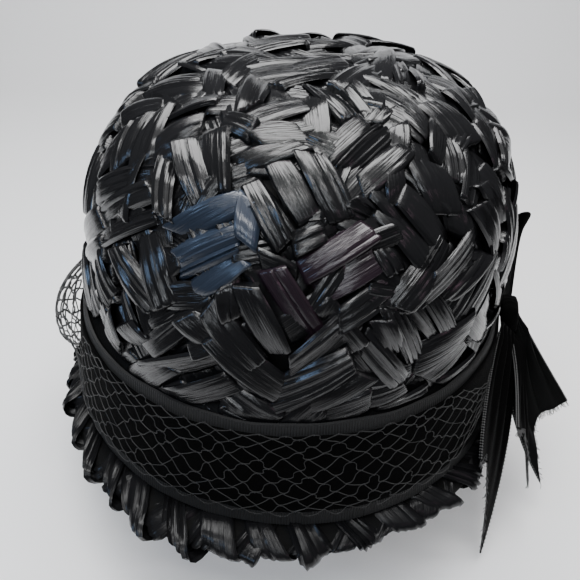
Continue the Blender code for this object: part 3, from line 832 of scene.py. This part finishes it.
LOOP_FOLDS = (
    Fold(0.190, 0.000, 0.07, 0.13), Fold(0.200, 0.298, 0.10, 0.38), Fold(0.210, 0.578, 0.15, 0.49),
    Fold(0.220, 0.808, 0.21, 0.50), Fold(0.170, 0.908, 0.23, 0.50), Fold(0.095, 0.838, 0.21, 0.50),
    Fold(0.060, 0.578, 0.14, 0.46), Fold(0.080, 0.298, 0.09, 0.34), Fold(0.100, 0.000, 0.07, 0.13),
)
TAIL_PLEATS = 3.5
LOOP_FLARE = 0.60
KNOT_SWELL = 1.15
LOOP_SEAT = 0.120
LOOP_LEAN = 0.10
LOOP_PEAK = 0.02
LOOP_CORNER = 0.908
RIBBON_HALF = 0.00035
SELVAGE_BEADS = 54
BEAD_SIZE = 0.00042
FRAY_COUNT = 170
FRAY_THREAD = 0.00012


def curve_at(stations, share):
    root, bend, tip = stations
    rest = 1.0 - share
    return root * rest * rest + bend * 2 * rest * share + tip * share * share


def two_faced(name, grid, materials, half):
    """A ribbon from a grid of places: its pile side, its back, and its edges."""
    maker = bmesh.new()
    rows, columns = len(grid), len(grid[0])
    fronts, backs = [], []
    for row in range(rows):
        front, rear = [], []
        for column in range(columns):
            here = grid[row][column]
            along = grid[min(rows - 1, row + 1)][column] - grid[max(0, row - 1)][column]
            across = grid[row][min(columns - 1, column + 1)] - grid[row][max(0, column - 1)]
            out = along.cross(across).normalized()
            front.append(maker.verts.new(here + out * half))
            rear.append(maker.verts.new(here - out * half))
        fronts.append(front)
        backs.append(rear)
    for row in range(rows - 1):
        for column in range(columns - 1):
            pile = (fronts[row][column], fronts[row + 1][column],
                    fronts[row + 1][column + 1], fronts[row][column + 1])
            maker.faces.new(pile).material_index = 0
            plain = (backs[row][column], backs[row][column + 1],
                     backs[row + 1][column + 1], backs[row + 1][column])
            maker.faces.new(plain).material_index = 1
    rim = [(0, c, 0, c + 1) for c in range(columns - 1)]
    rim += [(r, columns - 1, r + 1, columns - 1) for r in range(rows - 1)]
    rim += [(rows - 1, c + 1, rows - 1, c) for c in reversed(range(columns - 1))]
    rim += [(r + 1, 0, r, 0) for r in reversed(range(rows - 1))]
    for r0, c0, r1, c1 in rim:
        maker.faces.new((fronts[r0][c0], fronts[r1][c1], backs[r1][c1], backs[r0][c0]))
    thing = new_object(name, maker, materials)
    shade(thing, 50.0)
    return thing


def tail_edges(tail):
    """Where a tail's short and long edges start, bend and end."""
    short = [knot_point(*tail.root_short), bow_point(*tail.bend_short), bow_point(*tail.tip_short)]
    long = [knot_point(*tail.root_long), bow_point(*tail.bend_long), bow_point(*tail.tip_long)]
    return short, long


def make_tail(tail, materials, thread, rng):
    """A velvet tail, pleated at the knot, with dotted selvages and a frayed swallow-tail cut."""
    short, long = tail_edges(tail)
    up = Vector((0.0, 0.0, 1.0))
    rows, strands = 26, 42

    def spot(share, across):
        left = curve_at(short, share)
        right = curve_at(long, share)
        curl = (right - left).cross(up).normalized()
        arch = tail.curl * RIBBON_WIDTH * share * sin(pi * across)
        ripple = 0.0006 * share * sin(2.0 * pi * across + 5.0 * share)
        pleats = tail.pleats * smooth(share / 0.12) * (1.0 - share) * sin(2 * pi * TAIL_PLEATS * across)
        return left.lerp(right, across) + curl * (arch + ripple + pleats)

    def cut_at(across):
        if across < tail.notch_place:
            cut = across / tail.notch_place
        else:
            cut = (1.0 - across) / (1.0 - tail.notch_place)
        return 1.0 - tail.notch_depth * cut

    grid = [[spot(row / rows * cut_at(s / strands), s / strands) for s in range(strands + 1)]
            for row in range(rows + 1)]
    ribbon = two_faced(tail.name, grid, materials, RIBBON_HALF)
    maker = bmesh.new()
    for across in (0.0, 1.0):
        inside = 0.006 if across == 0.0 else 0.994
        last = cut_at(across)
        places = [spot((0.10 + 0.89 * i / SELVAGE_BEADS) * last, inside) for i in range(SELVAGE_BEADS)]
        normal = (spot(0.6, 0.6) - spot(0.6, 0.4)).cross(spot(0.7, 0.5) - spot(0.5, 0.5)).normalized()
        for sign in (-1, 1):
            add_beads(maker, [p + normal * sign * RIBBON_HALF for p in places], BEAD_SIZE)
    edging = new_object(tail.name + "_selvage", maker, [thread])
    shade(edging, 80.0)
    frays = bmesh.new()
    for _ in range(FRAY_COUNT):
        across = rng.random()
        share = cut_at(across)
        start = spot(share - 0.01, across)
        ahead = (spot(share, across) - spot(share - 0.05, across)).normalized()
        sway = Vector((rng.uniform(-1, 1), rng.uniform(-1, 1), rng.uniform(-1, 1))) * 0.55
        length = rng.uniform(0.0008, 0.0036)
        way = (ahead + sway).normalized()
        middle = start + ahead * length * 0.5
        add_thread(frays, [start, middle, middle + way * length * 0.6], FRAY_THREAD, 3)
    fray = new_object(tail.name + "_fray", frays, [thread])
    return ribbon, edging, fray


def make_loop(materials):
    """The bow's loop, pile out and satin in, with its back fold opened."""
    def fold_at(position):
        index = min(len(LOOP_FOLDS) - 2, int(position))
        share = position - index
        values = []
        for key in range(4):
            before, here, after, beyond = (LOOP_FOLDS[min(len(LOOP_FOLDS) - 1, max(0, index + step))][key]
                                           for step in (-1, 0, 1, 2))
            values.append(0.5 * (2 * here + (after - before) * share
                                 + (2 * before - 5 * here + 4 * after - beyond) * share ** 2
                                 + (3 * here - before - 3 * after + beyond) * share ** 3))
        return Fold(*values)

    grid = []
    rows, strands = 48, 14
    for row in range(rows + 1):
        fold = fold_at(row / rows * (len(LOOP_FOLDS) - 1))
        line = []
        for strand in range(strands + 1):
            climb = 2 * strand / strands - 1
            flare = 1.0 + LOOP_FLARE * max(0.0, climb) * fold.half_height
            lean = max(0.0, (climb + LOOP_LEAN) / (1.0 + LOOP_LEAN))
            spread = lean * (fold.back / LOOP_CORNER) ** 3
            out = LOOP_SEAT + (fold.out * flare - LOOP_SEAT) * spread
            behind = (KNOT_WIDTH / 2 + CLEARANCE) / RIBBON_WIDTH + fold.back
            peak = LOOP_PEAK * max(0.0, climb) ** 3 * smooth((fold.out - 0.12) / 0.08)
            rise = fold.middle + fold.half_height * climb + peak * smooth(fold.back / 0.5)
            line.append(bow_point(out + 0.3 * peak, -behind, rise))
        grid.append(line)
    return two_faced("bow_loop_ribbon", grid, materials, RIBBON_HALF)


def make_knot(material):
    """The knot: a soft block with folds that run round it."""
    maker = bmesh.new()
    bmesh.ops.create_icosphere(maker, subdivisions=4, radius=1.0)
    for vert in maker.verts:
        x, y, z = vert.co
        boxy = max(abs(x), abs(y), abs(z)) ** 0.55
        crease = 1.0 - 0.05 * (0.5 + 0.5 * cos(5.0 * y * pi))
        pinch = 1.0 - 0.22 * z * z
        vert.co = knot_point(x / boxy * crease, y / boxy * pinch * KNOT_SWELL, z / boxy * crease)
    knot = new_object("knot_wrap", maker, [material])
    shade(knot, 60.0)
    return knot


def set_inputs(node, values):
    for name, value in values.items():
        node.inputs[name].default_value = value


class Nodes:
    """A short way to add and join a material's nodes."""

    def __init__(self, name):
        self.material = bpy.data.materials.new(name)
        self.material.use_nodes = True
        self.tree = self.material.node_tree
        self.shader = self.tree.nodes["Principled BSDF"]

    def add(self, kind, inputs=None, **settings):
        node = self.tree.nodes.new(kind)
        for key, value in settings.items():
            setattr(node, key, value)
        set_inputs(node, inputs or {})
        return node

    def join(self, source, target):
        self.tree.links.new(source, target)

    def bump(self, height, strength, distance):
        node = self.add("ShaderNodeBump", {"Strength": strength, "Distance": distance})
        self.join(height, node.inputs["Height"])
        self.join(node.outputs["Normal"], self.shader.inputs["Normal"])

    def ramp(self, source, stops):
        node = self.tree.nodes.new("ShaderNodeValToRGB")
        elements = node.color_ramp.elements
        for index, (position, value) in enumerate(stops):
            element = elements[index] if index < 2 else elements.new(position)
            element.position = position
            element.color = (*value, 1.0) if hasattr(value, "__len__") else (value, value, value, 1.0)
        self.join(source, node.inputs["Fac"])
        return node.outputs["Color"]


def straw_material(name, sharp, soft, relief, shine):
    """Cellophane straw: black, with painted bluish and plum reflections on some strips, and a sharp gloss
    broken by fine lengthwise fibres.
    """
    nodes = Nodes(name)
    uv = nodes.add("ShaderNodeUVMap", uv_map="UVMap")

    def noise(stretch, scale, detail):
        """Noise in the strip's own metres, stretched across it and along it."""
        mapping = nodes.add("ShaderNodeMapping", {"Scale": stretch})
        nodes.join(uv.outputs["UV"], mapping.inputs["Vector"])
        texture = nodes.add("ShaderNodeTexNoise", {"Scale": scale, "Detail": detail}, noise_dimensions="2D")
        nodes.join(mapping.outputs["Vector"], texture.inputs["Vector"])
        return texture.outputs["Fac"]

    def total(first, second):
        node = nodes.add("ShaderNodeMath", operation="ADD")
        nodes.join(first, node.inputs[0])
        nodes.join(second, node.inputs[1])
        return node.outputs["Value"]

    fibre = noise((1900.0, 36.0, 1.0), 1.0, 3.0)
    patch = noise((420.0, 50.0, 1.0), 1.0, 2.0)
    crumple = noise((1.0, 0.35, 1.0), 230.0, 3.0)
    nodes.join(nodes.ramp(patch, ((0.3, sharp), (0.7, soft))), nodes.shader.inputs["Roughness"])
    # Base colour from each strip: black straw, and on some strips a painted reflection.
    tint = nodes.add("ShaderNodeVertexColor", layer_name="tint")
    nodes.join(tint.outputs["Color"], nodes.shader.inputs["Base Color"])
    weighed = nodes.add("ShaderNodeMath", {1: 1.7}, operation="MULTIPLY")
    nodes.join(crumple, weighed.inputs[0])
    nodes.bump(total(total(fibre, patch), weighed.outputs["Value"]), 0.55, relief)
    set_inputs(nodes.shader, {"Specular IOR Level": shine})
    return nodes.material


def grained_material(name, grain, stops, surface, strength, depth):
    """A dull look: its shade and its dents follow one fine noise."""
    nodes = Nodes(name)
    noise = nodes.add("ShaderNodeTexNoise", grain).outputs["Fac"]
    nodes.join(nodes.ramp(noise, stops), nodes.shader.inputs["Base Color"])
    set_inputs(nodes.shader, surface)
    nodes.bump(noise, strength, depth)
    return nodes.material


def under_material():
    return grained_material("straw_underlayer", {"Scale": 420.0}, ((0.3, 0.0012), (0.7, 0.0030)),
                            {"Roughness": 0.6, "Specular IOR Level": 0.15}, 0.5, 0.0006)


def grosgrain_material():
    return grained_material("grosgrain_look", {"Scale": 900.0}, ((0.3, 0.0150), (0.7, 0.0300)),
                            {"Roughness": 0.55, "Specular IOR Level": 0.3}, 0.4, 0.0002)


def velvet_material():
    surface = {"Roughness": 0.95, "Specular IOR Level": 0.06, "Sheen Weight": 0.012, "Sheen Roughness": 0.3}
    return grained_material("velvet_look", {"Scale": 260.0, "Detail": 6.0},
                            ((0.35, 0.0006), (0.7, 0.0020)), surface, 0.5, 0.0004)


def satin_material():
    dark, light = (0.0010, 0.0012, 0.0011), (0.0026, 0.0029, 0.0027)
    return grained_material("ribbon_back_look", {"Scale": 700.0}, ((0.3, dark), (0.7, light)),
                            {"Roughness": 0.6, "Specular IOR Level": 0.07}, 0.3, 0.0002)


def thread_material(name, dark, light):
    return grained_material(name, {"Scale": 1500.0}, ((0.3, dark), (0.7, light)),
                            {"Roughness": 0.5, "Specular IOR Level": 0.35}, 0.3, 0.0001)


def stage_material():
    """A pale table that fades to grey past an oval round the hat: the pale part glows, painted fill light
    that lifts the hat's shadow, and the grey past it is painted shade towards the camera and the sides.
    """
    nodes = Nodes("pale_stage")
    place = nodes.add("ShaderNodeNewGeometry")
    wide, deep = PALE_OVAL
    oval = nodes.add("ShaderNodeMapping", {"Scale": (0.5 / wide, 0.5 / deep, 0.0),
                                           "Location": (0.0, -0.5 * PALE_CENTRE / deep, 0.0)})
    nodes.join(place.outputs["Position"], oval.inputs["Vector"])
    away = nodes.add("ShaderNodeVectorMath", operation="LENGTH")
    nodes.join(oval.outputs["Vector"], away.inputs[0])
    colour = nodes.ramp(away.outputs["Value"], ((0.5, STAGE_PALE), (0.63, STAGE_GREY)))
    nodes.join(colour, nodes.shader.inputs["Base Color"])
    # The same colour glows: painted fill light on the pale part.
    nodes.join(colour, nodes.shader.inputs["Emission Color"])
    set_inputs(nodes.shader, {"Roughness": 0.7, "Specular IOR Level": 0.2, "Emission Strength": PAINTED_FILL_GLOW})
    return nodes.material


FLOOR_HEIGHT = -0.041
FLOOR_REACH = 1.4
BACKDROP_PLACE = 0.74
BACKDROP_TOP = 0.46
PALE_CENTRE = 0.45
PALE_OVAL = (0.50, 0.58)
# The table's glow is painted fill light, lifting the hat's shadow on the pale part.
PAINTED_FILL_GLOW = 0.30
STAGE_PALE = (0.76, 0.76, 0.765)
# Grey past the pale oval: painted shade.
STAGE_GREY = (0.05, 0.05, 0.052)
SWEEP_RADIUS = 0.16
SWEEP_STEPS = 16


def make_stage():
    """A wide floor that curves up into the backdrop."""
    maker = bmesh.new()
    bend = BACKDROP_PLACE - SWEEP_RADIUS
    profile = [(-FLOOR_REACH, FLOOR_HEIGHT), (bend, FLOOR_HEIGHT)]
    for step in range(1, SWEEP_STEPS + 1):
        turn = step / SWEEP_STEPS * pi / 2
        profile.append((bend + SWEEP_RADIUS * sin(turn), FLOOR_HEIGHT + SWEEP_RADIUS * (1 - cos(turn))))
    profile.append((BACKDROP_PLACE, BACKDROP_TOP))
    rows = [[maker.verts.new((side, y, z)) for side in (-FLOOR_REACH, FLOOR_REACH)] for y, z in profile]
    for before, after in zip(rows, rows[1:]):
        maker.faces.new((before[0], before[1], after[1], after[0]))
    stage = new_object("stage_sweep", maker, [stage_material()])
    shade(stage, 40.0)


def area_light(name, place, target, size, power, colour=(1.0, 1.0, 1.0)):
    light = bpy.data.lights.new(name, "AREA")
    light.shape = "RECTANGLE"
    light.size, light.size_y = size
    light.energy = power
    light.color = colour
    made = bpy.data.objects.new(name, light)
    bpy.context.scene.collection.objects.link(made)
    made.location = place
    made.rotation_euler = (Vector(target) - Vector(place)).to_track_quat("-Z", "Y").to_euler()


def make_lights():
    """A ceiling panel over the hat, dimmer panels and bars towards the camera, two tinted windows."""
    heart = (0.0, 0.0, 0.06)
    area_light("ceiling", (-0.02, 0.105, 0.70), (-0.02, 0.105, 0.0), (0.60, 0.40), 8.6)
    area_light("front_ceiling", (0.0, -0.40, 0.70), (0.0, -0.40, 0.0), (0.90, 0.56), 1.3)
    area_light("near_bar", (-0.05, -0.20, 0.70), (-0.05, -0.20, 0.0), (0.54, 0.09), 1.9)
    area_light("far_bar", (-0.10, -0.42, 0.70), heart, (0.46, 0.08), 1.35)
    area_light("front_strip", (-0.16, -0.62, 0.58), heart, (0.36, 0.06), 0.70, (0.92, 0.96, 1.0))
    area_light("front_window", (-0.16, -0.66, 0.37), heart, (0.40, 0.07), 0.62, (0.90, 0.95, 1.0))
    area_light("window_cool", (-0.60, -0.42, 0.42), heart, (0.14, 0.20), 0.80, (0.40, 0.62, 1.0))
    area_light("window_warm", (0.50, -0.55, 0.46), heart, (0.10, 0.16), 0.12, (1.0, 0.60, 0.80))
    world = bpy.data.worlds.new("studio")
    world.use_nodes = True
    set_inputs(world.node_tree.nodes["Background"], {"Color": (0.90, 0.93, 1.0, 1.0), "Strength": 0.13})
    bpy.context.scene.world = world


def make_camera():
    eye, right, up, back = camera_frame()
    camera = bpy.data.cameras.new("camera")
    camera.sensor_width = SENSOR_MM
    camera.lens = SENSOR_MM * FOCAL_PIXELS / PICTURE_SIZE
    camera.clip_start = 0.01
    made = bpy.data.objects.new("camera", camera)
    bpy.context.scene.collection.objects.link(made)
    turn = Matrix((right, up, back)).transposed() @ Matrix.Rotation(radians(CAMERA_ROLL), 3, "Z")
    made.rotation_euler = turn.to_euler()
    made.location = eye
    bpy.context.scene.camera = made


def main():
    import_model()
    straw = straw_material("glossy_straw_look", 0.07, 0.19, 0.00028, 0.5)
    rim_straw = straw_material("rim_straw_look", 0.12, 0.27, 0.00030, 0.22)
    under = under_material()
    grosgrain = grosgrain_material()
    velvet = velvet_material()
    satin = satin_material()
    thread = thread_material("thread_look", 0.008, 0.034)

    strips, fillers = make_crown_strips(straw)
    base = make_crown_base(under)
    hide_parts("crown")
    rim = make_rim_strips(rim_straw)
    rim_base = make_rim_base(under)
    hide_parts("brim")
    for piece in (strips, fillers, base, rim, rim_base):
        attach(piece, "root")

    wide = make_grosgrain(grosgrain)
    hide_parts("band_grosgrain")
    narrow = make_velvet(velvet)
    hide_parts("band_velvet")
    net = make_net(thread)
    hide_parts("veil")
    knot = make_knot(velvet)
    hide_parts("bow_knot")
    loop = make_loop([velvet, satin])
    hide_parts("bow_loop")
    for piece in (wide, narrow, net, knot, loop):
        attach(piece, "root")

    rng = random.Random(8)
    # Picot and fray thread lighter than the black ribbon: painted highlight, so the selvage dots read
    # bright.
    picot = thread_material("picot_painted_highlight_look", 0.050, 0.120)
    nodes = ("bow_tail_a", "bow_tail_c", "bow_tail_b")
    for tail, node in zip(TAILS, nodes):
        ribbon, edging, fray = make_tail(tail, [velvet, satin], picot, rng)
        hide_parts(node)
        for piece in (ribbon, edging, fray):
            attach(piece, "root")

    make_stage()
    make_lights()
    make_camera()


main()
